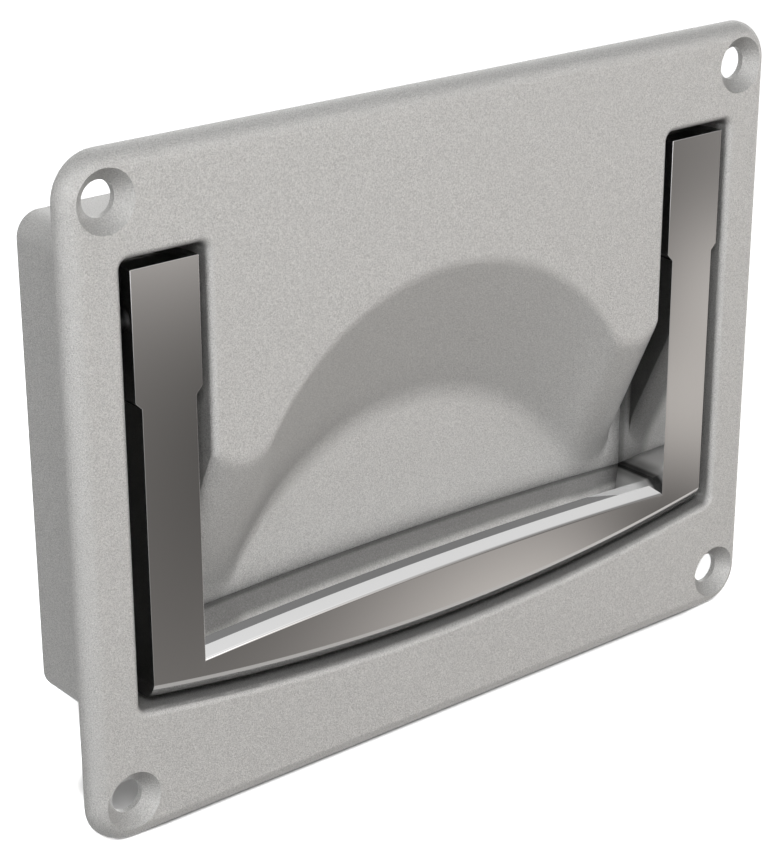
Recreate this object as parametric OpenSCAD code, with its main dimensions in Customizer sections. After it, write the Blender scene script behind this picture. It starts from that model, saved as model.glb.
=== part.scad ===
// Recessed bail pull. A cast housing with a flange is let into a panel, and a
// cast bail folds flush into it. Fingers reach the bail through a raked scoop.
// +X runs to the right, +Y into the panel and +Z up. The origin is the centre
// of the screw pattern on the mounting plane, which is the back of the flange.

/* [Flange] */
// Width of the flange
flange_w = 143; // [138:1:160]
// Height of the flange
flange_h = 110; // [106:1:130]
// Thickness of the flange
flange_t = 3.2; // [3:0.1:4.5]
// Radius of the flange's corners
corner_r = 7.1; // [5:0.1:10]
// Radius of the round along the flange's front edge
edge_r = 3; // [1:0.1:3]

/* [Screw holes] */
// Spacing of the screw holes across the flange
screw_dx = 128.8; // [127:0.1:146]
// Spacing of the screw holes up the flange
screw_dz = 95.6; // [94:0.1:116]
// Diameter of the screw holes
screw_d = 5.5; // [4.5:0.1:6.5]
// Diameter of the countersinks at the front face
sink_d = 9.8; // [9:0.1:12]

/* [Box behind the flange] */
// Width of the box
box_w = 127.4; // [127:0.1:130]
// Height of the box
box_h = 80; // [79:1:90]
// How far the box reaches behind the mounting plane
box_back = 23.1; // [20:0.1:30]
// Radius of the box's corners
box_corner_r = 4; // [2.5:0.1:6]
// Thickness of the box's rim behind the dish
rim_t = 1.5; // [1.2:0.1:2]
// Thickness of the cast walls behind the dish
skin_t = 2; // [1.5:0.1:2.5]
// Thickness of the ribs at the back
rib_t = 1.8; // [1.2:0.1:2.5]

/* [Dish] */
// Depth of the dish below the front face
dish_depth = 11.8; // [11:0.1:14]
// Distance from the centre to the slots' outer walls
slot_out = 62.4; // [62:0.1:62.6]
// Distance from the centre to the slots' inner walls
slot_in = 47.4; // [46.5:0.1:47.8]
// Height of the slots' top wall
slot_top = 38.6; // [38.4:0.1:38.8]
// Radius of the slots' top corners
slot_corner_r = 1.4; // [1:0.1:2]
// Lowest point of the dish's bowed lower wall
bow_low = -38.4; // [-38.5:0.1:-38]
// Radius of the bowed lower wall
bow_r = 368; // [360:1:400]
// Radius of the round along the dish's front edges
lip_r = 1.2; // [0.6:0.1:1.2]

/* [Finger scoop] */
// Top of the scoop's arch
arch_top = 25.2; // [22:0.1:27]
// Distance from the centre to the middle of each tongue's round tip
tip_x = 41.4; // [41:0.1:41.4]
// Height of the middle of each round tip
tip_z = 8.3; // [7:0.1:10]
// Radius of the round tips
tip_r = 6.1; // [5.5:0.1:6.1]
// How far the scoop's wall runs down for each millimetre that it gets deeper
rake = 2.16; // [1.8:0.01:2.2]

/* [Bail] */
// How far the bail's face lies below the front face
bail_set = 0.35; // [0.2:0.05:0.8]
// Depth of the bail from front to back
bail_depth = 11.35; // [11:0.05:11.4]
// Top of the bail's heads
head_top = 37; // [36:0.1:37.2]
// Distance from the centre to the heads' inner sides
head_in = 48.9; // [48.5:0.1:49]
// Distance from the centre to the heads' outer sides
head_out = 60.8; // [60:0.1:61]
// Distance from the centre to the arms' inner sides
arm_in = 50.1; // [50:0.1:51]
// Distance from the centre to the arms' outer sides
arm_out = 59.7; // [58:0.1:59.9]
// Height at which the bevelled steps under the heads end
step_z = 15.6; // [14:0.1:20]
// Height of the crossbar's upper front edge at the centre
grip_z = -27.24; // [-28:0.01:-26]
// Radius of the bow of the crossbar's upper edge
grip_r = 931; // [800:1:1200]
// Gap between the bail and the dish's lower wall
bow_gap = 1.05; // [0.9:0.05:2]

/* [Pivot] */
// Depth of the pivot behind the mounting plane
pin_y = 2.2; // [2:0.1:2.4]
// Height of the pivot
pin_z = 28; // [27:0.1:28]
// Diameter of the pivot pins
pin_d = 4; // [3.5:0.1:4]
// Running clearance of the pins in the bail, on the radius
pin_play = 0.05; // [0.02:0.01:0.1]
// Distance from the pivot to the rounded back of the heads
cam_r = 8.7; // [8.5:0.1:8.7]

/* [Hidden] */

face_y = -flange_t;
floor_y = face_y + dish_depth;
bail_front = face_y + bail_set;
bail_back = bail_front + bail_depth;
bow_z = bow_low + bow_r;
step = arm_in - head_in;

// The arch is tangent to both round tips, which gives its radius.
arch_rise = arch_top - tip_z;
arch_r = (tip_x * tip_x + arch_rise * arch_rise - tip_r * tip_r) / (2 * (tip_r + arch_rise));
arch_z = arch_top - arch_r;

// Soft edges of the scoop's wall, as short falls of [how steeply it runs down,
// how deep it goes]: one set at the face, and one at the foot by the floor.
soft_brow = [[14, 0.06], [4.2, 0.2], [2.7, 0.3]];
soft_foot = [[2.7, 0.6], [4.4, 0.38], [14, 0.12]];
brow_rise = 1.3;
function depth_of(falls, i = 0) = i == len(falls) ? 0 : falls[i][1] + depth_of(falls, i + 1);
falls = concat(soft_brow, [[rake, dish_depth - depth_of(soft_brow) - depth_of(soft_foot)]], soft_foot);

// The heads swing in wells that are deeper than the dish and end as stops.
well_y = pin_y + head_top - pin_z + 0.05;
well_z = 21.6;

// Crossbar's upper front edge: a small round, a bevel and a flatter bevel.
nose_r = 0.9;
bevel_a = 50;
bevel_w = 1.785;
flat_a = 34;
flat_w = 1.352;

// Crossbar's lower front edge: three bevels, each steeper than the last.
under_a = [22, 31, 60];
under_w = [1.11, 1.5, 1.5];
grip_rise = nose_r * cos(bevel_a) + bevel_w * sin(bevel_a) + flat_w * sin(flat_a);

pin_in = 42;
pin_chamfer = 0.4;
reach = 60;
over = 0.5;
round_fn = 64;
bow_fn = 1440;

// Extrudes an outline in x and z from depth y0 to depth y1.
module deep(y0, y1) {
    translate([0, y1, 0]) rotate([90, 0, 0]) linear_extrude(y1 - y0) children();
}

// Extrudes an outline in y and z from x0 to x1.
module across(x0, x1) {
    translate([x0, 0, 0]) rotate([90, 0, 90]) linear_extrude(x1 - x0) children();
}

// Repeats what it is given on both sides of the middle.
module both_sides() {
    children();
    mirror([1, 0, 0]) children();
}

module round_rect(w, h, r) {
    square([w - 2 * r, h], center = true);
    square([w, h - 2 * r], center = true);
    for (x = [-1, 1], z = [-1, 1])
        translate([x * (w / 2 - r), z * (h / 2 - r)]) circle(r, $fn = round_fn);
}

// What a round of radius r takes off an edge: u runs into the metal from one
// face and v runs into it from the other.
module off_edge(r) {
    difference() {
        translate([-over, -over]) square(r + over);
        translate([r, r]) circle(r, $fn = round_fn);
    }
}

// Takes the front edge off an upright wall at x. Side is 1 where the metal is
// on the +X side of the wall.
module off_upright(x, z0, z1, side, r, front = face_y) {
    translate([x, front, z0]) mirror([side < 0 ? 1 : 0, 0, 0]) linear_extrude(z1 - z0) off_edge(r);
}

// The same for a level wall at z. Side is 1 where the metal is above the wall.
module off_level(z, x0, x1, side, r, front = face_y) {
    translate([x0, front, z]) mirror([0, 0, side < 0 ? 1 : 0])
        rotate([90, 0, 90]) linear_extrude(x1 - x0) mirror([1, -1]) off_edge(r);
}

// The same for a wall that turns with radius path_r about (x, z). Side is 1
// where the metal is outside the turn.
module off_turn(x, z, path_r, a0, a1, side, r, fn = round_fn, front = face_y) {
    translate([x, front, z]) rotate([90, 0, 0]) rotate([0, 0, a0])
        rotate_extrude(angle = a1 - a0, $fn = fn)
            translate([path_r, 0]) mirror([0, 1]) mirror([side < 0 ? 1 : 0, 0]) off_edge(r);
}

// Flange with its front edge rounded all the way round.
module flange() {
    cx = flange_w / 2 - corner_r;
    cz = flange_h / 2 - corner_r;
    difference() {
        deep(face_y, 0) round_rect(flange_w, flange_h, corner_r);
        for (s = [-1, 1]) {
            off_upright(s * flange_w / 2, -cz, cz, -s, edge_r);
            off_level(s * flange_h / 2, -cx, cx, -s, edge_r);
        }
        off_turn(cx, cz, corner_r, 0, 90, -1, edge_r);
        off_turn(-cx, cz, corner_r, 90, 180, -1, edge_r);
        off_turn(-cx, -cz, corner_r, 180, 270, -1, edge_r);
        off_turn(cx, -cz, corner_r, 270, 360, -1, edge_r);
    }
}

// Middle of the dish's lower round corners. They bulge a hair past the bowed
// lower wall, so that the two cross instead of just touching.
low_turn = asin((slot_out - slot_corner_r) / (bow_r - slot_corner_r));
low_corner_z = bow_z - (bow_r - slot_corner_r + 0.05) * cos(low_turn);

// Outline of the dish: upright sides and a bowed lower wall.
module dish_outline() {
    cx = slot_out - slot_corner_r;
    cz = slot_top - slot_corner_r;
    intersection() {
        translate([-cx, -reach]) square([2 * cx, reach + slot_top]);
        translate([0, bow_z]) circle(bow_r, $fn = bow_fn);
    }
    translate([-slot_out, low_corner_z]) square([2 * slot_out, cz - low_corner_z]);
    for (x = [-cx, cx], z = [low_corner_z, cz]) translate([x, z]) circle(slot_corner_r, $fn = round_fn);
}

// Outline of what stands in the dish between the slots: a plate that ends in
// two round tongues with the arch between them. Grow thins it by that much.
module island_outline(grow = 0) {
    side = tip_x + tip_r - grow;
    for (s = [-1, 1]) {
        difference() {
            polygon([[0, arch_z], [s * tip_x, tip_z], [s * side, tip_z], [s * side, reach + tip_z],
                [0, reach + tip_z]]);
            translate([0, arch_z]) circle(arch_r + grow, $fn = 2 * round_fn);
        }
        translate([s * tip_x, tip_z]) circle(tip_r - grow, $fn = round_fn);
    }
}

// Leans an extrusion back so that its lower edge runs down as it gets deeper,
// and passes height z at depth y.
module raked(slant, y, z) {
    multmatrix([[1, 0, 0, 0], [0, 1, 0, 0], [0, -slant, 1, z + slant * y], [0, 0, 0, 1]]) children();
}

// The island, one fall of its wall after the other.
module island(i = 0, y = face_y, z = brow_rise) {
    if (i < len(falls)) {
        y0 = i == 0 ? y - over : y;
        y1 = i == len(falls) - 1 ? y + falls[i][1] + over : y + falls[i][1];
        raked(falls[i][0], y, z) deep(y0, y1) island_outline();
        island(i + 1, y1, z - falls[i][0] * falls[i][1]);
    }
}

// The hollow at the front: the dish less the island, and the heads' wells.
module dish() {
    difference() {
        union() {
            difference() {
                deep(face_y - over, floor_y) dish_outline();
                intersection() {
                    deep(face_y - 2 * over, floor_y + 2 * over)
                        translate([-slot_in, -reach]) square([2 * slot_in, 2 * reach]);
                    island();
                }
            }
            both_sides() intersection() {
                deep(0, well_y) dish_outline();
                translate([slot_in, 0, well_z]) cube(reach);
            }
        }
        both_sides() slot_corner();
    }
}

// Metal that rounds a slot's top inner corner.
module slot_corner() {
    r = slot_corner_r;
    deep(face_y - 2 * over, well_y + over) difference() {
        translate([slot_in - over, slot_top - r]) square(r + over);
        translate([slot_in + r, slot_top - r]) circle(r, $fn = round_fn);
    }
}

// Rounds the dish's front edges, apart from the scoop's own.
module dish_lips() {
    r = slot_corner_r;
    cx = slot_out - r;
    cz = slot_top - r;
    off_turn(0, bow_z, bow_r, -90 - low_turn, -90 + low_turn, 1, lip_r, bow_fn);
    both_sides() {
        off_upright(slot_out, low_corner_z, cz, 1, lip_r);
        off_upright(slot_in, tip_z - tip_r, cz, -1, lip_r);
        off_level(slot_top, slot_in + r, cx, 1, lip_r);
        off_turn(cx, cz, r, 0, 90, 1, lip_r);
        off_turn(slot_in + r, cz, r, 90, 180, 1, lip_r);
        off_turn(cx, low_corner_z, r, -105, 0, 1, lip_r);
    }
}

// Countersunk screw holes at the flange's corners.
module screw_holes() {
    sink = (sink_d - screw_d) / 2;
    for (x = [-1, 1], z = [-1, 1]) translate([x * screw_dx / 2, over, z * screw_dz / 2]) rotate([90, 0, 0]) {
        cylinder(h = flange_t + 2 * over, d = screw_d, $fn = round_fn);
        translate([0, 0, over + flange_t - sink])
            cylinder(h = sink + over, d1 = screw_d, d2 = sink_d + 2 * over, $fn = round_fn);
    }
}

// The cored back: the rim stays, and the walls follow the dish and the island.
module back_core() {
    core_w = box_w - 2 * rim_t;
    core_h = box_h - 2 * rim_t;
    well_wall = slot_in - skin_t;
    difference() {
        union() {
            deep(floor_y + skin_t, box_back + over) round_rect(core_w, core_h, box_corner_r - rim_t);
            intersection() {
                deep(face_y + skin_t, floor_y + skin_t + over)
                    translate([-well_wall, -reach]) square([2 * well_wall, reach + core_h / 2]);
                raked(rake, face_y, 0) deep(face_y, floor_y + 2 * skin_t)
                    translate([0, skin_t]) island_outline(skin_t);
            }
        }
        both_sides() {
            translate([well_wall, 0, well_z - skin_t]) cube([reach, well_y + skin_t, reach]);
            translate([core_w / 6, -reach, -reach]) cube([rib_t, reach + box_back - 3, 2 * reach]);
            translate([pin_in - skin_t, 0, 0]) pin_boss();
        }
        translate([-reach, floor_y, -rib_t / 2]) cube([2 * reach, box_back - 3 - floor_y, rib_t]);
    }
}

// Boss that holds the inner end of a pivot pin.
module pin_boss() {
    across(0, reach) {
        translate([pin_y, pin_z]) circle(pin_d / 2 + skin_t, $fn = round_fn);
        translate([face_y, pin_z - pin_d / 2 - skin_t]) square([pin_y - face_y, pin_d + 2 * skin_t]);
    }
}

module pin_bore(d, x0, x1) {
    across(x0, x1) translate([pin_y, pin_z]) circle(d = d, $fn = round_fn);
}

module housing() {
    color([0.72, 0.72, 0.71]) difference() {
        union() {
            flange();
            deep(-over, box_back) round_rect(box_w, box_h, box_corner_r);
        }
        dish();
        dish_lips();
        screw_holes();
        back_core();
        both_sides() pin_bore(pin_d, pin_in, reach + slot_in);
    }
}

// Front view of one arm, which widens into its head through bevelled steps.
module arm_outline() {
    polygon([[arm_in, -reach], [arm_in, step_z], [head_in, step_z + step], [head_in, head_top],
        [head_out, head_top], [head_out, step_z + head_out - arm_out], [arm_out, step_z],
        [arm_out, -reach]]);
}

// Front view of the bail: two arms and a crossbar with a gentle bow upwards,
// ended below by a bow that follows the dish's lower wall.
module bail_outline() {
    intersection() {
        translate([0, bow_z]) circle(bow_r - bow_gap, $fn = bow_fn);
        union() {
            both_sides() arm_outline();
            intersection() {
                translate([0, grip_z - grip_r]) circle(grip_r + grip_rise, $fn = 2 * bow_fn);
                translate([-arm_in - over, -reach]) square([2 * (arm_in + over), reach]);
            }
        }
    }
}

// What the bevels and the small round take off the crossbar's upper front edge.
module off_grip() {
    nose_a = (90 - bevel_a) / 2;
    corner = nose_r * tan(nose_a);
    d1 = nose_r * (1 - sin(bevel_a));
    u1 = nose_r * cos(bevel_a);
    d2 = d1 + bevel_w * cos(bevel_a);
    u2 = u1 + bevel_w * sin(bevel_a);
    d3 = d2 + flat_w * cos(flat_a);
    intersection() {
        translate([0, bail_front, grip_z - grip_r]) rotate([90, 0, 0]) rotate([0, 0, 86])
            rotate_extrude(angle = 8, $fn = 2 * bow_fn) {
                polygon([[grip_r + corner, over], [grip_r + corner, 0], [grip_r + u1, -d1], [grip_r + u2, -d2],
                    [grip_r + grip_rise, -d3], [grip_r + grip_rise + 3, -d3], [grip_r + grip_rise + 3, over]]);
                difference() {
                    polygon([[grip_r, over], [grip_r, 0], [grip_r, -nose_r], [grip_r + u1, -d1],
                        [grip_r + corner, 0], [grip_r + corner, over]]);
                    translate([grip_r, -nose_r]) circle(nose_r, $fn = round_fn);
                }
            }
        translate([-arm_in, -reach, -reach]) cube([2 * arm_in, 2 * reach, reach]);
    }
}

// What the bevels take off the bail's lower front edge.
module off_under() {
    r3 = bow_r - bow_gap;
    r2 = r3 - under_w[2] * cos(under_a[2]);
    r1 = r2 - under_w[1] * cos(under_a[1]);
    r0 = r1 - under_w[0] * cos(under_a[0]);
    d1 = under_w[0] * sin(under_a[0]);
    d2 = d1 + under_w[1] * sin(under_a[1]);
    d3 = d2 + under_w[2] * sin(under_a[2]);
    translate([0, bail_front, bow_z]) rotate([90, 0, 0]) rotate([0, 0, -101])
        rotate_extrude(angle = 22, $fn = bow_fn)
            polygon([[r0, over], [r0, 0], [r1, -d1], [r2, -d2], [r3, -d3], [r3 + over, -d3], [r3 + over, over]]);
}

// What the round about the pin takes off the back of the heads, so that they
// can turn in their wells. The front of a head ends square as the open stop.
module off_heads() {
    top = head_top - pin_z;
    back = bail_back - pin_y;
    across(-reach - arm_in, reach + arm_in) translate([pin_y, pin_z]) difference() {
        polygon([[-2, top], [1, sqrt(cam_r * cam_r - 1)], [1, 0], [back + over, 0],
            [back + over, top + over], [-2, top + over]]);
        circle(cam_r, $fn = 2 * round_fn);
    }
}

module bail_handle() {
    color([0.62, 0.61, 0.6]) difference() {
        deep(bail_front, bail_back) bail_outline();
        off_grip();
        off_heads();
        off_under();
        both_sides() pin_bore(pin_d + 2 * pin_play, head_in - over, head_out + over);
    }
}

// Plain pin from the housing's side wall to its boss, chamfered at both ends.
module pivot_pin() {
    r = pin_d / 2;
    x1 = box_w / 2;
    translate([0, pin_y, pin_z]) rotate([0, 90, 0]) rotate_extrude($fn = round_fn)
        polygon([[0, pin_in], [r - pin_chamfer, pin_in], [r, pin_in + pin_chamfer], [r, x1 - pin_chamfer],
            [r - pin_chamfer, x1], [0, x1]]);
}

module left_pin() { color([0.55, 0.55, 0.56]) mirror([1, 0, 0]) pivot_pin(); }
module right_pin() { color([0.55, 0.55, 0.56]) pivot_pin(); }

housing();
bail_handle();
left_pin();
right_pin();
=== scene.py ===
"""Looks for a recessed bail pull: painted cast housing, polished bail and steel pins.

The row frame is used throughout, in metres: +X runs to the right, +Y into the
panel and +Z up. The origin is the centre of the screw pattern on the mounting
plane.
"""
import logging
import math
from dataclasses import dataclass, field
from enum import Enum

import bmesh
import bpy
from mathutils import Matrix, Vector


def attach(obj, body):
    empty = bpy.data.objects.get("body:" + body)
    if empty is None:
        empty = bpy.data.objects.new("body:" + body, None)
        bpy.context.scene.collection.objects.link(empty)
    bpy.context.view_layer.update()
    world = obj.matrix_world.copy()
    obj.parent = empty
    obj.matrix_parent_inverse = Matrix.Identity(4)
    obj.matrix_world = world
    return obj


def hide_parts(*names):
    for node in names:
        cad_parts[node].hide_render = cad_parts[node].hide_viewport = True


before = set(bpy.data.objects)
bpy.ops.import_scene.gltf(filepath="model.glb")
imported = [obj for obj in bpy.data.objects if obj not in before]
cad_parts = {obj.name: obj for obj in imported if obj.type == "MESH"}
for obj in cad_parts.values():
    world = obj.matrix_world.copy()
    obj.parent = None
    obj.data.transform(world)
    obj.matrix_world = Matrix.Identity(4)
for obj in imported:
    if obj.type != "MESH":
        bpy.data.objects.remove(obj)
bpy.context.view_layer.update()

log = logging.getLogger("bail_pull")
MM = 0.001
Rgb = tuple[float, float, float]
Xyz = tuple[float, float, float]
Pair = tuple[float, float]
WHITE = (1.0, 1.0, 1.0, 1.0)
NOISE_MEAN = 0.5


class Side(Enum):
    """The two sides of the pull."""

    LEFT = "left"
    RIGHT = "right"

    def sign(self) -> float:
        """Returns -1 on the left and 1 on the right."""
        return -1.0 if self is Side.LEFT else 1.0


@dataclass
class NodeBench:
    """Places nodes in one tree and wires them up.

    Attributes:
        tree: The node tree.
    """

    tree: bpy.types.NodeTree

    def add(self, kind: str, **values: object) -> bpy.types.Node:
        """Adds a node and sets its properties and sockets.

        Args:
            kind: Blender's name for the node's type.
            values: Properties by name; a name with a leading s_ sets the socket of that name.

        Returns:
            The new node.
        """
        node = self.tree.nodes.new(kind)
        for name, value in values.items():
            if name.startswith("s_"):
                node.inputs[name[2:].replace("_", " ")].default_value = value
            else:
                setattr(node, name, value)
        return node

    def join(self, source: bpy.types.NodeSocket, target: bpy.types.NodeSocket) -> None:
        """Links one socket to another.

        Args:
            source: The output socket.
            target: The input socket.
        """
        self.tree.links.new(source, target)

    def math(self, operation: str, first: object, second: object = 0.0) -> bpy.types.NodeSocket:
        """Adds a math node.

        Args:
            operation: Blender's name for the operation.
            first: A number or an output socket.
            second: A number or an output socket.

        Returns:
            The node's output socket.
        """
        node = self.add("ShaderNodeMath", operation=operation)
        for index, value in enumerate((first, second)):
            if isinstance(value, bpy.types.NodeSocket):
                self.join(value, node.inputs[index])
            else:
                node.inputs[index].default_value = value
        return node.outputs[0]


class ShaderGroups:
    """Node groups that several materials share. Each is built once."""

    def __init__(self) -> None:
        """Starts with no groups built."""
        self.built: dict[str, bpy.types.NodeTree] = {}

    def group(
        self, name: str, inputs: dict[str, tuple[str, object]], outputs: dict[str, str],
    ) -> tuple[bpy.types.NodeTree, NodeBench, bpy.types.Node, bpy.types.Node]:
        """Makes an empty group with its sockets.

        Args:
            name: The group's name.
            inputs: Socket type and default value by name.
            outputs: Socket type by name.

        Returns:
            The tree, its bench, its input node and its output node.
        """
        tree = bpy.data.node_groups.new(name, "ShaderNodeTree")
        for label, (kind, value) in inputs.items():
            socket = tree.interface.new_socket(label, in_out="INPUT", socket_type=kind)
            if value is not None:
                socket.default_value = value
        for label, kind in outputs.items():
            tree.interface.new_socket(label, in_out="OUTPUT", socket_type=kind)
        bench = NodeBench(tree)
        return tree, bench, bench.add("NodeGroupInput"), bench.add("NodeGroupOutput")

    def surface_grain(self) -> bpy.types.NodeTree:
        """Fine grain and slow clouding that vary over a surface.

        Returns:
            A group with Grain Size, Cloud Size, Grain and Cloud in, and Tone and Height out.
        """
        if "surface_grain" not in self.built:
            tree, bench, inside, outside = self.group(
                "surface_grain",
                {"Grain Size": ("NodeSocketFloat", 4000.0), "Cloud Size": ("NodeSocketFloat", 40.0),
                 "Grain": ("NodeSocketFloat", 0.1), "Cloud": ("NodeSocketFloat", 0.05)},
                {"Tone": "NodeSocketFloat", "Height": "NodeSocketFloat"})
            place = bench.add("ShaderNodeTexCoord")
            fine = bench.add("ShaderNodeTexNoise", s_Detail=2.0, s_Roughness=0.7)
            slow = bench.add("ShaderNodeTexNoise", s_Detail=3.0, s_Roughness=0.55)
            bench.join(place.outputs["Object"], fine.inputs["Vector"])
            bench.join(place.outputs["Object"], slow.inputs["Vector"])
            bench.join(inside.outputs["Grain Size"], fine.inputs["Scale"])
            bench.join(inside.outputs["Cloud Size"], slow.inputs["Scale"])
            grain = bench.math("MULTIPLY", bench.math("SUBTRACT", fine.outputs["Fac"], NOISE_MEAN),
                               inside.outputs["Grain"])
            cloud = bench.math("MULTIPLY", bench.math("SUBTRACT", slow.outputs["Fac"], NOISE_MEAN),
                               inside.outputs["Cloud"])
            tone = bench.math("ADD", 1.0, bench.math("ADD", grain, cloud))
            bench.join(tone, outside.inputs["Tone"])
            bench.join(fine.outputs["Fac"], outside.inputs["Height"])
            self.built["surface_grain"] = tree
        return self.built["surface_grain"]

    def soft_lobe(self) -> bpy.types.NodeTree:
        """A soft round patch of light about one direction.

        Returns:
            A group with Direction, Centre, Tightness and Strength in, and Light out.
        """
        if "soft_lobe" not in self.built:
            tree, bench, inside, outside = self.group(
                "soft_lobe",
                {"Direction": ("NodeSocketVector", None), "Centre": ("NodeSocketVector", None),
                 "Tightness": ("NodeSocketFloat", 100.0), "Strength": ("NodeSocketFloat", 1.0)},
                {"Light": "NodeSocketFloat"})
            dot = bench.add("ShaderNodeVectorMath", operation="DOT_PRODUCT")
            bench.join(inside.outputs["Direction"], dot.inputs[0])
            bench.join(inside.outputs["Centre"], dot.inputs[1])
            away = bench.math("SUBTRACT", dot.outputs["Value"], 1.0)
            fall = bench.math("EXPONENT", bench.math("MULTIPLY", away, inside.outputs["Tightness"]))
            light = bench.math("MULTIPLY", fall, inside.outputs["Strength"])
            bench.join(light, outside.inputs["Light"])
            self.built["soft_lobe"] = tree
        return self.built["soft_lobe"]


GROUPS = ShaderGroups()


@dataclass(frozen=True)
class Finish:
    """A procedural finish. Lengths are in metres.

    Attributes:
        name: The material's name.
        color: Its colour before the grain.
        metallic: How metallic it is.
        roughness: Its mean roughness.
        grain_size: Scale of the fine grain.
        cloud_size: Scale of the slow clouding.
        grain: How far the grain changes the tone.
        cloud: How far the clouding changes the tone.
        bump: Strength of the grain's relief, or nothing for a smooth finish.
        bump_distance: Height of the relief.
        roughness_swing: How far the tone changes the roughness.
        near_painted_shade: How much painted shade darkens the surface for a bounced ray from close
            by.
        near_shade_reach: The ray lengths between which that painted shade fades.
        gap_painted_shade: How much more painted shade, besides, darkens it across a narrow gap.
        gap_shade_reach: The ray lengths between which that painted shade fades.
        blur: The least roughness that a bounced ray meets.
    """

    name: str
    color: Rgb
    metallic: float
    roughness: float
    grain_size: float
    cloud_size: float
    grain: float
    cloud: float
    bump: float
    bump_distance: float
    roughness_swing: float
    near_painted_shade: float = 0.55
    near_shade_reach: Pair = (0.003, 0.008)
    gap_painted_shade: float = 0.4
    gap_shade_reach: Pair = (0.0012, 0.003)
    blur: float = 0.4

    @staticmethod
    def fading(
        bench: NodeBench, distance: bpy.types.NodeSocket, reach: Pair, most: float,
    ) -> bpy.types.NodeSocket:
        """Adds a value that is at its most close by and fades to nothing further off.

        Args:
            bench: The bench of the material's node tree.
            distance: The socket that gives the distance.
            reach: Where the fading starts and ends.
            most: The value close by.

        Returns:
            The socket that gives the value.
        """
        node = bench.add("ShaderNodeMapRange", interpolation_type="SMOOTHSTEP",
                         s_From_Min=reach[1], s_From_Max=reach[0], s_To_Max=most)
        bench.join(distance, node.inputs["Value"])
        return node.outputs["Result"]

    def build(self) -> bpy.types.Material:
        """Builds the material.

        Returns:
            A procedural material with toned colour, painted shade for nearby bounced rays, varied
            roughness and a fine bump.
        """
        material = bpy.data.materials.new(self.name)
        material.use_nodes = True
        bench = NodeBench(material.node_tree)
        shader = material.node_tree.nodes["Principled BSDF"]
        grain = bench.add("ShaderNodeGroup", node_tree=GROUPS.surface_grain(),
                          s_Grain_Size=self.grain_size, s_Cloud_Size=self.cloud_size,
                          s_Grain=self.grain, s_Cloud=self.cloud)
        tint = bench.add("ShaderNodeMix", data_type="RGBA", blend_type="MULTIPLY",
                         s_Factor=1.0, s_A=(*self.color, 1.0))
        # Painted shade: bounced rays that meet the surface from close by, as in gaps and corners,
        # see a darker colour.
        rays = bench.add("ShaderNodeLightPath")
        bounced = bench.math("MAXIMUM", rays.outputs["Is Diffuse Ray"],
                             rays.outputs["Is Glossy Ray"])
        near = self.fading(bench, rays.outputs["Ray Length"], self.near_shade_reach, self.near_painted_shade)
        gap = self.fading(bench, rays.outputs["Ray Length"], self.gap_shade_reach, self.gap_painted_shade)
        painted_shade = bench.math("MULTIPLY", bounced, bench.math("ADD", near, gap))
        tone = bench.math("MULTIPLY", grain.outputs["Tone"], bench.math("SUBTRACT", 1.0, painted_shade))
        bench.join(tone, tint.inputs["B"])
        bench.join(tint.outputs["Result"], shader.inputs["Base Color"])
        swing = bench.math("MULTIPLY", bench.math("SUBTRACT", grain.outputs["Tone"], 1.0),
                           self.roughness_swing)
        dull = bench.math("MULTIPLY", bounced, max(self.blur - self.roughness, 0.0))
        rough = bench.math("ADD", bench.math("ADD", swing, dull), self.roughness)
        bench.join(rough, shader.inputs["Roughness"])
        shader.inputs["Metallic"].default_value = self.metallic
        if self.bump:
            bump = bench.add("ShaderNodeBump", s_Strength=self.bump, s_Distance=self.bump_distance)
            bench.join(grain.outputs["Height"], bump.inputs["Height"])
            bench.join(bump.outputs["Normal"], shader.inputs["Normal"])
        return material


# PAINT's near_shade_reach and gap_painted_shade set where and how strongly its painted shade falls.
PAINT = Finish(
    name="silver_grey_paint", color=(0.7, 0.695, 0.682), metallic=0.75, roughness=0.4,
    grain_size=5500.0, cloud_size=60.0, grain=1.4, cloud=0.02, bump=1.0, bump_distance=0.00014,
    roughness_swing=0.3, near_shade_reach=(0.0085, 0.0125), gap_painted_shade=0.2)
CHROME = Finish(
    name="polished_chrome", color=(0.875, 0.875, 0.875), metallic=1.0, roughness=0.03,
    grain_size=900.0, cloud_size=45.0, grain=0.01, cloud=0.02, bump=0.0, bump_distance=0.0,
    roughness_swing=0.5)
STEEL = Finish(
    name="ground_steel", color=(0.65, 0.65, 0.66), metallic=1.0, roughness=0.3,
    grain_size=2600.0, cloud_size=200.0, grain=0.2, cloud=0.1, bump=0.1, bump_distance=0.00004,
    roughness_swing=0.4)


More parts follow.
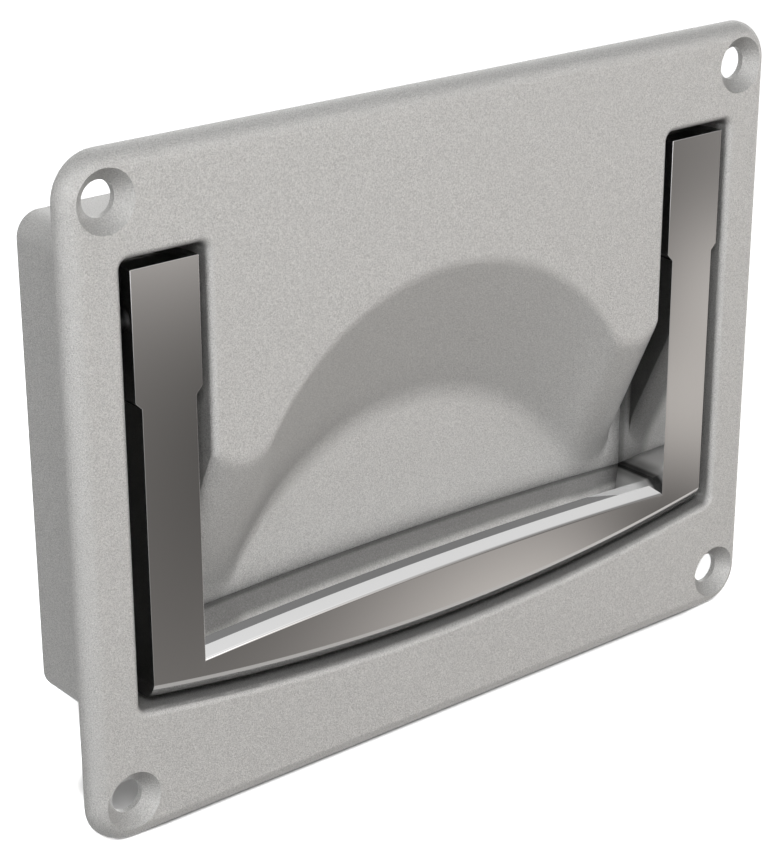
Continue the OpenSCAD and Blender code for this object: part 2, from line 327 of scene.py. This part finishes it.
@dataclass
class Shell:
    """Gathers faces by their corners, in millimetres, and welds them into one mesh.

    Attributes:
        digits: Corners that agree to so many decimals are one.
        points: The place of each corner in the mesh.
        faces: The faces, each as its corners' places.
    """

    digits: int = 5
    points: dict[Xyz, int] = field(default_factory=dict)
    faces: list[list[int]] = field(default_factory=list)

    def face(self, corners: list[Xyz]) -> None:
        """Adds a face, less the corners that fall together.

        Args:
            corners: The face's corners in order.
        """
        ring: list[int] = []
        for corner in corners:
            key = tuple(round(value, self.digits) + 0.0 for value in corner)
            spot = self.points.setdefault(key, len(self.points))
            if spot not in ring:
                ring.append(spot)
        if len(ring) > 2:
            self.faces.append(ring)

    def loft(self, sections: list[list[Xyz]]) -> None:
        """Joins closed sections of equal length, one after the other.

        Args:
            sections: The sections, each as its points in order.
        """
        for near, far in zip(sections, sections[1:]):
            for k in range(len(near)):
                n = (k + 1) % len(near)
                self.face([near[k], near[n], far[n], far[k]])

    def make(self, name: str) -> bpy.types.Object:
        """Makes the object.

        Args:
            name: The piece's name.

        Returns:
            A mesh object in metres with its faces turned outwards.
        """
        mesh = bpy.data.meshes.new(name)
        mesh.from_pydata([[value * MM for value in point] for point in self.points], [], self.faces)
        work = bmesh.new()
        work.from_mesh(mesh)
        bmesh.ops.recalc_face_normals(work, faces=work.faces)
        work.to_mesh(mesh)
        work.free()
        piece = bpy.data.objects.new(name, mesh)
        bpy.context.scene.collection.objects.link(piece)
        return piece


@dataclass(frozen=True)
class Softening:
    """How a piece's edges are softened.

    Attributes:
        width: Width of the broken edges in metres, or nothing to break none.
        broken_from: The angle in degrees from which an outer edge is broken.
        sharp_from: The angle in degrees from which an edge looks sharp.
        segments: Steps across a broken edge.
    """

    width: float
    broken_from: float
    sharp_from: float
    segments: int = 2

    def apply(self, piece: bpy.types.Object) -> None:
        """Smooths the piece's faces, keeps its sharp edges and breaks them with a fine bevel.

        Args:
            piece: The mesh object to soften.
        """
        work = bmesh.new()
        work.from_mesh(piece.data)
        for face in work.faces:
            face.smooth = True
        broken = work.edges.layers.float.new("bevel_weight_edge")
        for edge in work.edges:
            edge.smooth = edge.calc_face_angle(0.0) < math.radians(self.sharp_from)
            edge[broken] = float(edge.calc_face_angle_signed(0.0) > math.radians(self.broken_from))
        work.to_mesh(piece.data)
        work.free()
        if self.width:
            bevel = piece.modifiers.new("broken_edges", "BEVEL")
            bevel.width = self.width
            bevel.segments = self.segments
            bevel.limit_method = "WEIGHT"
            bevel.use_clamp_overlap = False
        weigh = piece.modifiers.new("even_normals", "WEIGHTED_NORMAL")
        weigh.keep_sharp = True


@dataclass
class Piece:
    """One solid of the pull as it comes from the source.

    Attributes:
        node: The solid's node.
        slot: Its material slot's name; not used.
        finish: Its finish.
    """

    node: str
    slot: str
    finish: Finish

    def dress(self) -> bpy.types.Object:
        """Gives the solid its finish.

        Returns:
            The dressed object.
        """
        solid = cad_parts[self.node]
        solid.data.materials.clear()
        solid.data.materials.append(self.finish.build())
        log.info("dressed %s with %s", self.node, self.finish.name)
        return solid

    def stand_in(self, piece: bpy.types.Object, body: str) -> None:
        """Lets a finer mesh of the same form stand for the solid.

        Args:
            piece: The finer mesh.
            body: The body that it moves with.
        """
        piece.data.materials.clear()
        piece.data.materials.append(self.finish.build())
        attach(piece, body)
        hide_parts(self.node)
        log.info("made %s for %s", piece.name, self.node)


@dataclass
class Housing:
    """The cast housing: flange, box, dish and raked scoop.

    Attributes:
        casting: The solid and its finish.
        softening: How its edges are softened.
        weld_gap: Corners closer than this are one.
        flat_within: Faces that turn less than this, in degrees, are one.
    """

    casting: Piece = field(default_factory=lambda: Piece("housing", "painted_casting", PAINT))
    softening: Softening = Softening(width=0.0, broken_from=32.0, sharp_from=24.0)
    weld_gap: float = 0.001 * MM
    flat_within: float = 0.01

    def build(self) -> None:
        """Makes the casting's mesh anew from its solid, with smooth faces."""
        work = bmesh.new()
        work.from_mesh(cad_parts[self.casting.node].data)
        bmesh.ops.remove_doubles(work, verts=work.verts, dist=self.weld_gap)
        bmesh.ops.dissolve_limit(work, angle_limit=math.radians(self.flat_within),
                                 verts=work.verts, edges=work.edges, use_dissolve_boundaries=False)
        mesh = bpy.data.meshes.new("painted_housing")
        work.to_mesh(mesh)
        work.free()
        casting = bpy.data.objects.new("painted_housing", mesh)
        bpy.context.scene.collection.objects.link(casting)
        self.softening.apply(casting)
        self.casting.stand_in(casting, "housing_body")


@dataclass
class Bail:
    """The folding bail: two arms with their heads and the crossbar. Sizes are in millimetres.

    Attributes:
        casting: The solid and its finish.
        softening: How its edges are softened.
        front: The face's y.
        back: The back's y.
        head_top: The heads' top.
        head_in: The heads' inner side, from the middle.
        head_out: The heads' outer side.
        arm_in: The arms' inner side.
        arm_out: The arms' outer side.
        step_z: The height at which an arm widens into its head.
        grip_z: The top of the crossbar's face in the middle.
        grip_r: The bow of its upper edge.
        nose_r: The round between the face and the upper bevel.
        bevel_deg: The upper bevel's slope.
        bevel_w: The upper bevel's width.
        flat_deg: The second bevel's slope.
        flat_w: The second bevel's width.
        bow_z: The height about which the lower edge is bowed.
        bow_r: The bow of the lower edge.
        under: Slope and width of each lower bevel.
        pin_y: The pins' depth.
        pin_z: The pins' height.
        bore_r: The bores' radius.
        cam_r: The radius of the heads' round backs.
        fall_from: Where a head's top starts to fall, from the pin's axis.
        fall_to: Where its round back starts.
        bore_front: The angles of a bore's front half, in degrees.
        bore_back: The angles of its back half.
        bar_steps: Steps along the crossbar.
        arm_steps: Steps across an arm.
        turn_steps: Steps round a nose or a head.
        bore_steps: Steps round half a bore.
    """

    casting: Piece = field(default_factory=lambda: Piece("bail_handle", "chrome", CHROME))
    softening: Softening = Softening(width=0.05 * MM, broken_from=50.0, sharp_from=8.0)
    front: float = -2.85
    back: float = 8.5
    head_top: float = 37.0
    head_in: float = 48.9
    head_out: float = 60.8
    arm_in: float = 50.1
    arm_out: float = 59.7
    step_z: float = 15.6
    grip_z: float = -27.24
    grip_r: float = 931.0
    nose_r: float = 0.9
    bevel_deg: float = 50.0
    bevel_w: float = 1.785
    flat_deg: float = 34.0
    flat_w: float = 1.352
    bow_z: float = 329.6
    bow_r: float = 366.95
    under: tuple[Pair, ...] = ((22.0, 0.87), (31.0, 1.5), (60.0, 1.5))
    pin_y: float = 2.2
    pin_z: float = 28.0
    bore_r: float = 2.05
    cam_r: float = 8.7
    fall_from: float = -2.0
    fall_to: float = 1.0
    bore_front: Pair = (90.0, 270.0)
    bore_back: Pair = (270.0, 450.0)
    bar_steps: int = 60
    arm_steps: int = 8
    turn_steps: int = 8
    bore_steps: int = 32

    def top_profile(self) -> list[Pair]:
        """Draws the crossbar's upper front edge.

        Returns:
            Points as (rise, depth), from the front face to the flat top.
        """
        lean = 90.0 - self.bevel_deg
        turns = [math.radians(lean * k / self.turn_steps) for k in range(self.turn_steps + 1)]
        points = [(self.nose_r * math.sin(t), self.nose_r * (1.0 - math.cos(t))) for t in turns]
        for degrees, width in ((self.bevel_deg, self.bevel_w), (self.flat_deg, self.flat_w)):
            rise, depth = points[-1]
            a = math.radians(degrees)
            points.append((rise + width * math.sin(a), depth + width * math.cos(a)))
        return points

    def low_profile(self) -> list[Pair]:
        """Draws the crossbar's lower front edge.

        Returns:
            Points as (fall, depth), from the front face to the flat underside.
        """
        points = [(0.0, 0.0)]
        for degrees, width in self.under:
            fall, depth = points[-1]
            a = math.radians(degrees)
            points.append((fall + width * math.cos(a), depth + width * math.sin(a)))
        return points

    def low_edge(self, x: float) -> list[Xyz]:
        """Places the lower edge.

        Args:
            x: Where across the bail.

        Returns:
            The edge's points from the front face to the back.
        """
        profile = self.low_profile()
        total = profile[-1][0]
        points = []
        for fall, depth in profile:
            radius = self.bow_r - total + fall
            points.append((x, self.front + depth, self.bow_z - math.sqrt(radius ** 2 - x * x)))
        return points + [(x, self.back, points[-1][2])]

    def top_edge(self, x: float) -> list[Xyz]:
        """Places the crossbar's upper edge.

        Args:
            x: Where across the bail.

        Returns:
            The edge's points from the front face to the back.
        """
        base = self.grip_z - self.grip_r
        points = [(x, self.front + depth, base + math.sqrt((self.grip_r + rise) ** 2 - x * x))
                  for rise, depth in self.top_profile()]
        return points + [(x, self.back, points[-1][2])]

    def head_top_edge(self, x: float) -> list[Xyz]:
        """Places a head's top and its round back.

        Args:
            x: Where across the bail.

        Returns:
            The edge's points from the front face to the back.
        """
        high = self.head_top - self.pin_z
        shoulder = math.sqrt(self.cam_r ** 2 - self.fall_to ** 2)
        middle = high + (shoulder - high) * -self.fall_from / (self.fall_to - self.fall_from)
        start = math.atan2(shoulder, self.fall_to)
        end = math.acos((self.back - self.pin_y) / self.cam_r)
        points = [(x, self.front, self.head_top), (x, self.pin_y + self.fall_from, self.head_top),
                  (x, self.pin_y, self.pin_z + middle)]
        for k in range(self.turn_steps + 1):
            t = start + (end - start) * k / self.turn_steps
            points.append(self.round_pin(x, self.cam_r, t))
        return points

    def round_pin(self, x: float, radius: float, turn: float) -> Xyz:
        """Returns the point at x that lies a radius from the pin's axis, at an angle in radians."""
        return (x, self.pin_y + radius * math.cos(turn), self.pin_z + radius * math.sin(turn))

    def bore(self, x: float, half: Pair) -> list[Xyz]:
        """Places one half of the rim of the pin's bore.

        Args:
            x: Where across the bail.
            half: The angles in degrees where the half starts and ends.

        Returns:
            The rim's points in order.
        """
        first, last = half
        steps = range(self.bore_steps + 1)
        turns = [math.radians(first + (last - first) * k / self.bore_steps) for k in steps]
        return [self.round_pin(x, self.bore_r, t) for t in turns]

    def foot(self, x: float, z: float) -> list[Xyz]:
        """Returns the level line under a head's step at x, from the back to the front."""
        return [(x, self.back, z), (x, self.pin_y, z), (x, self.front, z)]

    def arm_ring(self, x: float) -> list[Xyz]:
        """Draws a section through an arm and the middle of its head.

        Args:
            x: Where across the bail.

        Returns:
            The closed section's points in order.
        """
        seam = self.top_edge(self.arm_in)
        rise = [(x, self.back, seam[-1][2]), (x, self.back, self.step_z)]
        fall = [(x, self.front, self.step_z), (x, self.front, seam[0][2])]
        return self.low_edge(x) + rise + list(reversed(self.head_top_edge(x))) + fall

    def head_ring(self, x: float) -> list[Xyz]:
        """Draws a section through the part of a head beside its arm, above the bevelled step.

        Args:
            x: Where across the bail.

        Returns:
            The closed section's points in order.
        """
        off = max(self.arm_in - x, x - self.arm_out, 0.0)
        return self.foot(x, self.step_z + off) + self.head_top_edge(x)

    def crossbar(self, shell: Shell) -> None:
        """Lofts the crossbar between the arms.

        Args:
            shell: What takes the faces.
        """
        steps = range(self.bar_steps + 1)
        stations = [self.arm_in * (2.0 * k / self.bar_steps - 1.0) for k in steps]
        shell.loft([self.low_edge(x) + list(reversed(self.top_edge(x))) for x in stations])

    def arm(self, shell: Shell, side: Side) -> None:
        """Lofts one arm with its head.

        Args:
            shell: What takes the faces.
            side: Which of the two arms.
        """
        width = self.arm_out - self.arm_in
        stations = [self.arm_in + width * k / self.arm_steps for k in range(self.arm_steps + 1)]
        shell.loft([self.turned(self.arm_ring(x), side) for x in stations])
        for reach in ((self.arm_in, self.head_in), (self.arm_out, self.head_out)):
            shell.loft([self.turned(self.head_ring(x), side) for x in reach])
        seam = self.top_edge(self.arm_in)
        shell.face(self.turned(seam + self.foot(self.arm_in, self.step_z), side))
        outer = self.low_edge(self.arm_out) + [(self.arm_out, self.back, seam[-1][2])]
        outer += self.foot(self.arm_out, self.step_z) + [(self.arm_out, self.front, seam[0][2])]
        shell.face(self.turned(outer, side))
        self.cheeks(shell, side)

    def cheeks(self, shell: Shell, side: Side) -> None:
        """Closes a head's two cheeks round the pin's bore, and lines the bore.

        Args:
            shell: What takes the faces.
            side: Which of the two heads.
        """
        rims = []
        for x in (self.head_in, self.head_out):
            top = self.head_top_edge(x)
            foot = self.head_ring(x)[:3]
            front, back = self.bore(x, self.bore_front), self.bore(x, self.bore_back)
            shell.face(self.turned([foot[1], foot[2]] + top[:3] + front, side))
            shell.face(self.turned(top[2:] + [foot[0], foot[1]] + back, side))
            rims.append(self.turned(front + back[1:-1], side))
        shell.loft(rims)

    @staticmethod
    def turned(points: list[Xyz], side: Side) -> list[Xyz]:
        """Returns points of the right side as they lie on the given side."""
        return [(side.sign() * x, y, z) for x, y, z in points]

    def build(self) -> None:
        """Makes the bail and breaks its edges."""
        shell = Shell()
        self.crossbar(shell)
        for side in Side:
            self.arm(shell, side)
        bail = shell.make("chrome_bail")
        self.softening.apply(bail)
        self.casting.stand_in(bail, "bail")


@dataclass
class PivotPins:
    """The two pins that the bail turns on.

    Attributes:
        slot: The pins' material slot.
        finish: Their finish.
    """

    slot: str = "pin_steel"
    finish: Finish = STEEL

    def build(self) -> None:
        """Dresses both pins."""
        for side in Side:
            Piece(f"{side.value}_pin", self.slot, self.finish).dress()


@dataclass(frozen=True)
class Lobe:
    """A soft patch of light in the surroundings.

    Attributes:
        name: What it stands for.
        azimuth: Its direction in degrees, 0 being the way the face looks.
        elevation: Its height above the level in degrees.
        strength: Its light in the middle; a negative one takes light away.
        tightness: How small it is.
    """

    name: str
    azimuth: float
    elevation: float
    strength: float
    tightness: float

    def centre(self) -> Xyz:
        """Returns the unit vector towards the patch."""
        a, e = math.radians(self.azimuth), math.radians(self.elevation)
        return (math.sin(a) * math.cos(e), -math.cos(a) * math.cos(e), math.sin(e))


@dataclass
class Studio:
    """Camera, floor, key lamp and soft surroundings.

    Attributes:
        eye: Where the camera stands.
        right: The way to the right of the picture.
        down: The way down in the picture.
        ahead: The way the camera looks.
        focal_px: The focal length in the picture's pixels.
        long_side_px: The picture's longer side.
        sensor_mm: The camera's sensor.
        near_clip: The nearest that the camera sees.
        floor_side: The floor's side.
        floor_z: The floor's height.
        floor_cloud: How far the floor's tone wanders.
        floor_seen_with_painted_shadow: The floor's tone to the camera: a painted shadow under the
            box, and white elsewhere.
        painted_shadow_turn: The distances from the box between which the painted shadow turns to
            white.
        floor_bounce: The floor's tone to everything else.
        painted_shadow_middle: The middle of the painted shadow under the box.
        painted_shadow_half: Half the size of the painted shadow's place.
        ambient: The light of the surroundings on plain surfaces.
        key_place: Where the key lamp stands.
        key_size: Its side.
        key_power: Its power in watts.
        warm_tint: The tint of the warm corner.
        mirror_base: The light that mirrors see between the patches.
        mirror_least: The least light that mirrors see.
        mirror_lobes: The patches of light and shade that mirrors see.
        warm_lobe: Where mirrors see a warmer tint.
    """

    eye: Xyz = (-0.23397, -0.27060, 0.14030)
    right: Xyz = (0.7713033, -0.6364663, -0.0013635)
    down: Xyz = (-0.2373878, -0.2856900, -0.9284548)
    ahead: Xyz = (0.5905406, 0.7164439, -0.3714430)
    focal_px: float = 2352.756
    long_side_px: float = 848.0
    sensor_mm: float = 36.0
    near_clip: float = 0.01
    floor_side: float = 6.0
    floor_z: float = -0.0552
    floor_cloud: float = 0.02
    floor_seen_with_painted_shadow: Pair = (0.95, 4.4)
    painted_shadow_turn: Pair = (0.003, 0.011)
    floor_bounce: float = 0.5
    painted_shadow_middle: Xyz = (0.0, 0.009, 0.0)
    painted_shadow_half: Xyz = (0.057, 0.005, 1.0)
    ambient: float = 0.24
    key_place: Xyz = (-0.25, -0.305, 0.31)
    key_size: float = 0.175
    key_power: float = 1.7
    warm_tint: Rgb = (1.063, 0.996, 0.941)
    mirror_base: float = 0.304
    mirror_least: float = 0.02
    mirror_lobes: tuple[Lobe, ...] = (
        Lobe("left softbox", -73.0, 2.0, 2.48, 11.0),
        Lobe("left low flag", -75.0, -24.5, -1.2, 28.0),
        Lobe("front left glow", -16.0, 2.5, 2.68, 32.0),
        Lobe("front glow", 19.5, 0.0, 4.56, 85.0),
        Lobe("front right glow", 62.7, -1.3, 3.49, 61.0),
        Lobe("upper softbox", 31.5, 30.6, 1.04, 12.0),
        Lobe("right softbox", 63.6, 33.5, 1.05, 28.0),
        Lobe("right flag", 65.6, 25.6, -1.2, 7.0),
        Lobe("back fill", 127.5, 0.0, 1.28, 3.0),
        Lobe("back flag", -166.0, -25.0, -0.64, 84.0),
        Lobe("low window", 33.7, -13.4, 0.66, 400.0),
        Lobe("low flag", 42.2, -24.3, -0.336, 47.0),
        Lobe("streak", 47.1, -21.7, 0.39, 1060.0),
        Lobe("upper streak", 48.2, -18.2, 0.288, 1470.0),
        Lobe("dark streak", 46.9, -23.8, -0.373, 1500.0),
        Lobe("floor glow", 44.5, -28.6, 0.72, 230.0))
    warm_lobe: Lobe = Lobe("warm corner", 47.0, -30.0, 1.0, 5.0)

    def camera(self) -> None:
        """Places the camera as it was fitted to the photograph."""
        data = bpy.data.cameras.new("camera")
        data.sensor_width = self.sensor_mm
        data.lens = self.focal_px * self.sensor_mm / self.long_side_px
        data.clip_start = self.near_clip
        camera = bpy.data.objects.new("camera", data)
        bpy.context.scene.collection.objects.link(camera)
        axes = Matrix((self.right, -Vector(self.down), -Vector(self.ahead))).transposed()
        camera.matrix_world = Matrix.Translation(self.eye) @ axes.to_4x4()
        bpy.context.scene.camera = camera

    def key_lamp(self) -> None:
        """Adds the square soft lamp, which faces the origin and isn't seen in mirrors."""
        data = bpy.data.lights.new("key", "AREA")
        data.shape = "SQUARE"
        data.size = self.key_size
        data.energy = self.key_power
        lamp = bpy.data.objects.new("key", data)
        bpy.context.scene.collection.objects.link(lamp)
        lamp.location = self.key_place
        lamp.rotation_euler = (-Vector(self.key_place)).to_track_quat("-Z", "Y").to_euler()
        lamp.visible_glossy = False

    def patch(
        self, bench: NodeBench, direction: bpy.types.NodeSocket, lobe: Lobe,
    ) -> bpy.types.NodeSocket:
        """Adds one patch of light to the surroundings.

        Args:
            bench: The bench of the world's node tree.
            direction: The socket that gives the direction looked in.
            lobe: The patch.

        Returns:
            The socket that gives the patch's light.
        """
        node = bench.add("ShaderNodeGroup", node_tree=GROUPS.soft_lobe(), label=lobe.name,
                         s_Centre=lobe.centre(), s_Tightness=lobe.tightness,
                         s_Strength=lobe.strength)
        bench.join(direction, node.inputs["Direction"])
        return node.outputs["Light"]

    def surroundings(self) -> None:
        """Lights the scene softly, and shows white to the camera."""
        world = bpy.data.worlds.new("surroundings")
        bpy.context.scene.world = world
        world.use_nodes = True
        bench = NodeBench(world.node_tree)
        place = bench.add("ShaderNodeTexCoord")
        seen: object = self.mirror_base
        for lobe in self.mirror_lobes:
            seen = bench.math("ADD", seen, self.patch(bench, place.outputs["Generated"], lobe))
        mirror = bench.math("MAXIMUM", seen, self.mirror_least)
        rays = bench.add("ShaderNodeLightPath")
        level = bench.add("ShaderNodeMix", data_type="FLOAT", s_A=self.ambient)
        bench.join(mirror, level.inputs["B"])
        bench.join(rays.outputs["Is Glossy Ray"], level.inputs["Factor"])
        corner = self.patch(bench, place.outputs["Generated"], self.warm_lobe)
        warm = bench.add("ShaderNodeMix", data_type="RGBA", s_A=WHITE, s_B=(*self.warm_tint, 1.0))
        reflected = bench.math("MULTIPLY", corner, rays.outputs["Is Glossy Ray"])
        bench.join(reflected, warm.inputs["Factor"])
        white = bench.add("ShaderNodeMix", data_type="FLOAT", s_B=1.0)
        bench.join(level.outputs["Result"], white.inputs["A"])
        bench.join(rays.outputs["Is Camera Ray"], white.inputs["Factor"])
        background = world.node_tree.nodes["Background"]
        bench.join(white.outputs["Result"], background.inputs["Strength"])
        bench.join(warm.outputs["Result"], background.inputs["Color"])

    def from_painted_shadow(self, bench: NodeBench) -> bpy.types.NodeSocket:
        """Measures how far a point of the floor is from the painted shadow's place under the box.

        Args:
            bench: The bench of the floor's node tree.

        Returns:
            The socket that gives the distance.
        """
        away = bench.add("ShaderNodeTexCoord").outputs["Object"]
        steps = (("SUBTRACT", self.painted_shadow_middle), ("ABSOLUTE", None),
                 ("SUBTRACT", self.painted_shadow_half), ("MAXIMUM", (0.0, 0.0, 0.0)), ("LENGTH", None))
        for operation, value in steps:
            step = bench.add("ShaderNodeVectorMath", operation=operation)
            if value is not None:
                step.inputs[1].default_value = value
            bench.join(away, step.inputs[0])
            away = step.outputs["Value" if operation == "LENGTH" else "Vector"]
        return away

    def pale(self) -> bpy.types.Material:
        """Builds the floor's material, white to the camera but for a shadow painted under the box.

        Returns:
            The material, which mirrors look through.
        """
        material = bpy.data.materials.new("pale_floor")
        material.use_nodes = True
        bench = NodeBench(material.node_tree)
        material.node_tree.nodes.remove(material.node_tree.nodes["Principled BSDF"])
        tone = bench.add("ShaderNodeGroup", node_tree=GROUPS.surface_grain(), s_Grain=0.0,
                         s_Cloud=self.floor_cloud)
        rays = bench.add("ShaderNodeLightPath")
        # Painted shadow: the floor's tone to the camera drops near the box's footprint.
        painted_shadow_level, most = (level - self.floor_bounce for level in self.floor_seen_with_painted_shadow)
        seen = bench.add("ShaderNodeMapRange", interpolation_type="SMOOTHSTEP",
                         s_From_Min=self.painted_shadow_turn[0], s_From_Max=self.painted_shadow_turn[1],
                         s_To_Min=painted_shadow_level, s_To_Max=most)
        bench.join(self.from_painted_shadow(bench), seen.inputs["Value"])
        shade = bench.math("MULTIPLY", rays.outputs["Is Camera Ray"], seen.outputs["Result"])
        lit = bench.math("ADD", shade, self.floor_bounce)
        level = bench.math("MULTIPLY", tone.outputs["Tone"], lit)
        tint = bench.add("ShaderNodeMix", data_type="RGBA", blend_type="MULTIPLY",
                         s_Factor=1.0, s_A=WHITE)
        tint.clamp_result = False
        bench.join(level, tint.inputs["B"])
        plain = bench.add("ShaderNodeBsdfDiffuse")
        bench.join(tint.outputs["Result"], plain.inputs["Color"])
        clear = bench.add("ShaderNodeBsdfTransparent")
        mixed = bench.add("ShaderNodeMixShader")
        bench.join(rays.outputs["Is Glossy Ray"], mixed.inputs["Fac"])
        bench.join(plain.outputs["BSDF"], mixed.inputs[1])
        bench.join(clear.outputs["BSDF"], mixed.inputs[2])
        out = material.node_tree.nodes["Material Output"]
        bench.join(mixed.outputs["Shader"], out.inputs["Surface"])
        return material

    def floor(self) -> None:
        """Lays a pale floor, with a painted shadow under the box, below the flange."""
        bpy.ops.mesh.primitive_plane_add(size=self.floor_side, location=(0.0, 0.0, self.floor_z))
        floor = bpy.context.object
        floor.name = "floor"
        floor.data.materials.append(self.pale())

    def build(self) -> None:
        """Sets up the whole studio."""
        bpy.context.scene.view_settings.view_transform = "Standard"
        self.camera()
        self.surroundings()
        self.floor()
        self.key_lamp()
        log.info("studio ready")


def main() -> None:
    """Builds the studio and dresses each sub-assembly in order."""
    logging.basicConfig(level=logging.INFO)
    Studio().build()
    parts: tuple[Housing, Bail, PivotPins] = (Housing(), Bail(), PivotPins())
    for part in parts:
        part.build()
        log.info("built %s", type(part).__name__)


if __name__ == "__main__":
    main()
